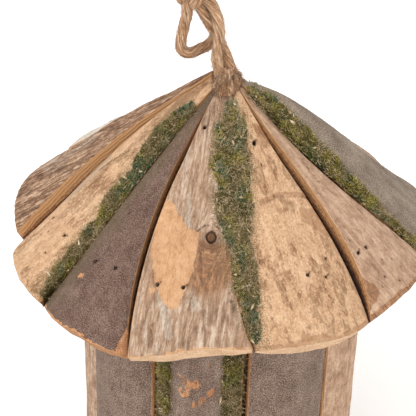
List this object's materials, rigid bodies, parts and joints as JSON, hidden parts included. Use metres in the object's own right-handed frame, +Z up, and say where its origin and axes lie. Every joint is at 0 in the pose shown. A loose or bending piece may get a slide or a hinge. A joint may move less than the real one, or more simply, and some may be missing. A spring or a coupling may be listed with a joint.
{
  "type": "birdhouse",
  "caption": "Rustic round birdhouse: log-slab walls, conical roof of log slabs with moss in the joints, front entrance hole, swivelling clean-out cover and a jute hanger.",
  "frame": {"origin": "centre of the base, on the surface the house stands on", "axes": "+Z up along the centre line; the entrance hole faces -Y; +X is to the right seen from the front"},
  "size_m": [0.222, 0.2351, 0.3054],
  "materials": {
    "pale_peeled_wood": "dry peeled wood",
    "tan_peeled_wood": "dry peeled wood with bark remnants",
    "weathered_wood": "weathered fibrous wood",
    "rough_brown_bark": "rough ridged bark",
    "dark_bark": "smooth dark bark",
    "sawn_board": "sawn softwood board",
    "moss": "dried preserved moss",
    "jute": "natural twisted jute",
    "steel": "dull steel"
  },
  "bodies": {
    "house": {"apex_block": "sawn_board", "brad_10_1": "steel", "brad_10_2": "steel", "brad_1_1": "steel", "brad_2_1": "steel", "brad_2_2": "steel", "brad_3_1": "steel", "brad_3_2": "steel", "brad_4_1": "steel", "brad_4_2": "steel", "brad_5_1": "steel", "brad_5_2": "steel", "brad_5_3": "steel", "brad_6_1": "steel", "brad_6_2": "steel", "brad_6_3": "steel", "brad_6_4": "steel", "brad_7_1": "steel", "brad_7_2": "steel", "brad_8_1": "steel", "brad_9_1": "steel", "brad_9_2": "steel", "ceiling_disc": "sawn_board", "cleanout_screw": "steel", "floor_disc": "sawn_board", "roof_moss_1": "moss", "roof_moss_2": "moss", "roof_moss_3": "moss", "roof_moss_4": "moss", "roof_slab_1": "pale_peeled_wood", "roof_slab_10": "rough_brown_bark", "roof_slab_2": "rough_brown_bark", "roof_slab_3": "tan_peeled_wood", "roof_slab_4": "dark_bark", "roof_slab_5": "weathered_wood", "roof_slab_6": "tan_peeled_wood", "roof_slab_7": "tan_peeled_wood", "roof_slab_8": "dark_bark", "roof_slab_9": "weathered_wood", "twine_knot": "jute", "twine_leg_left": "jute", "twine_leg_right": "jute", "twine_loop": "jute", "twine_stopper_knot": "jute", "wall_moss_1": "moss", "wall_moss_2": "moss", "wall_moss_3": "moss", "wall_moss_4": "moss", "wall_slab_1": "dark_bark", "wall_slab_3": "dark_bark", "wall_slab_4": "tan_peeled_wood", "wall_slab_5": "rough_brown_bark", "wall_slab_6": "pale_peeled_wood", "wall_slab_7": "dark_bark", "wall_slab_8": "tan_peeled_wood", "wall_slab_front": "dark_bark"},
    "cleanout": {"cleanout_cover": "sawn_board"}
  },
  "joints": [
    {"name": "cleanout_swivel", "type": "hinge", "parent": "house", "child": "cleanout", "pos_m": [0, 0, 0.0077], "axis": [0, 0, 1], "continuous": true}
  ]
}
